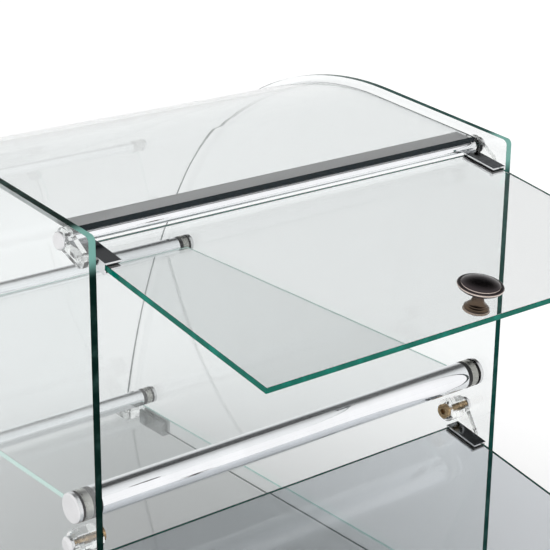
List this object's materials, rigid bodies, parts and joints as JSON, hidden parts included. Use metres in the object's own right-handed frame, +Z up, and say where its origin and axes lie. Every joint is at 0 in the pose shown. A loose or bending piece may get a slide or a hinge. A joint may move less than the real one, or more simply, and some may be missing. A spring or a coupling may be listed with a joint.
{
  "type": "glass display showcase",
  "caption": "Countertop glass showcase: curved front glass between clear side panels, glass shelf on chromed tubes, and top-hinged glass doors with knobs at the back.",
  "frame": {"origin": "bottom centre of the bounding box with both doors open, on the plane the feet stand on", "axes": "+X across the width, +Y towards the operator and the doors, -Y towards the customer and the curved front, +Z up; left and right are the -X and +X sides"},
  "size_m": [0.368, 0.6582, 0.4124],
  "materials": {
    "clear_glass": "polished clear float glass, green at the edges",
    "clear_plastic": "clear moulded polycarbonate",
    "chrome_tube": "polished chrome plating",
    "satin_steel": "satin",
    "polished_steel": "polished",
    "black_rubber": "matt",
    "grey_rubber": "matt",
    "dark_chrome": "dark polished",
    "brass": "worn antique brass",
    "dark_bronze": "glossy dark bronze",
    "brushed_strip": "satin"
  },
  "bodies": {
    "case": {"base_glass": "clear_glass", "curved_glass": "clear_glass", "front_foot_left": "grey_rubber", "front_foot_right": "grey_rubber", "front_glass_rest_left": "clear_plastic", "front_glass_rest_right": "clear_plastic", "lower_front_outer_caps": "polished_steel", "lower_front_tube": "chrome_tube", "lower_front_tube_collars": "satin_steel", "lower_front_tube_seals": "black_rubber", "lower_hinge_block_left": "clear_plastic", "lower_hinge_block_right": "clear_plastic", "lower_hinge_outer_nuts": "polished_steel", "lower_hinge_socket_screws": "brass", "lower_rear_outer_caps": "polished_steel", "lower_rear_tube": "chrome_tube", "lower_rear_tube_collars": "satin_steel", "lower_rear_tube_seals": "black_rubber", "middle_front_outer_caps": "polished_steel", "middle_front_tube": "chrome_tube", "middle_front_tube_collars": "satin_steel", "middle_front_tube_seals": "black_rubber", "middle_rear_outer_caps": "polished_steel", "middle_rear_tube": "chrome_tube", "middle_rear_tube_collars": "satin_steel", "middle_rear_tube_seals": "black_rubber", "middle_shelf_glass": "clear_glass", "rear_foot_left": "grey_rubber", "rear_foot_right": "grey_rubber", "rear_glass_rest_left": "clear_plastic", "rear_glass_rest_right": "clear_plastic", "side_glass_left": "clear_glass", "side_glass_right": "clear_glass", "top_bonding_strip": "brushed_strip", "top_outer_screws": "polished_steel", "top_rear_rod": "chrome_tube", "upper_hinge_block_left": "clear_plastic", "upper_hinge_block_right": "clear_plastic"},
    "upper_door": {"upper_door_clamp_left": "dark_chrome", "upper_door_clamp_liners": "black_rubber", "upper_door_clamp_right": "dark_chrome", "upper_door_glass": "clear_glass", "upper_door_knob": "dark_bronze", "upper_door_knob_screw": "polished_steel", "upper_door_pivot_pins": "polished_steel", "upper_door_rosette": "dark_bronze", "upper_door_set_screws": "polished_steel"},
    "lower_door": {"lower_door_clamp_left": "dark_chrome", "lower_door_clamp_liners": "black_rubber", "lower_door_clamp_right": "dark_chrome", "lower_door_glass": "clear_glass", "lower_door_knob": "dark_bronze", "lower_door_knob_screw": "polished_steel", "lower_door_pivot_pins": "polished_steel", "lower_door_rosette": "dark_bronze", "lower_door_set_screws": "polished_steel"}
  },
  "joints": [
    {"name": "upper_door_hinge", "type": "hinge", "parent": "case", "child": "upper_door", "pos_m": [0, 0.15163, 0.3818], "axis": [-1, 0, 0], "range_deg": [0, 78.5]},
    {"name": "lower_door_hinge", "type": "hinge", "parent": "case", "child": "lower_door", "pos_m": [0, 0.14863, 0.1635], "axis": [-1, 0, 0], "range_deg": [0, 75.8]}
  ]
}
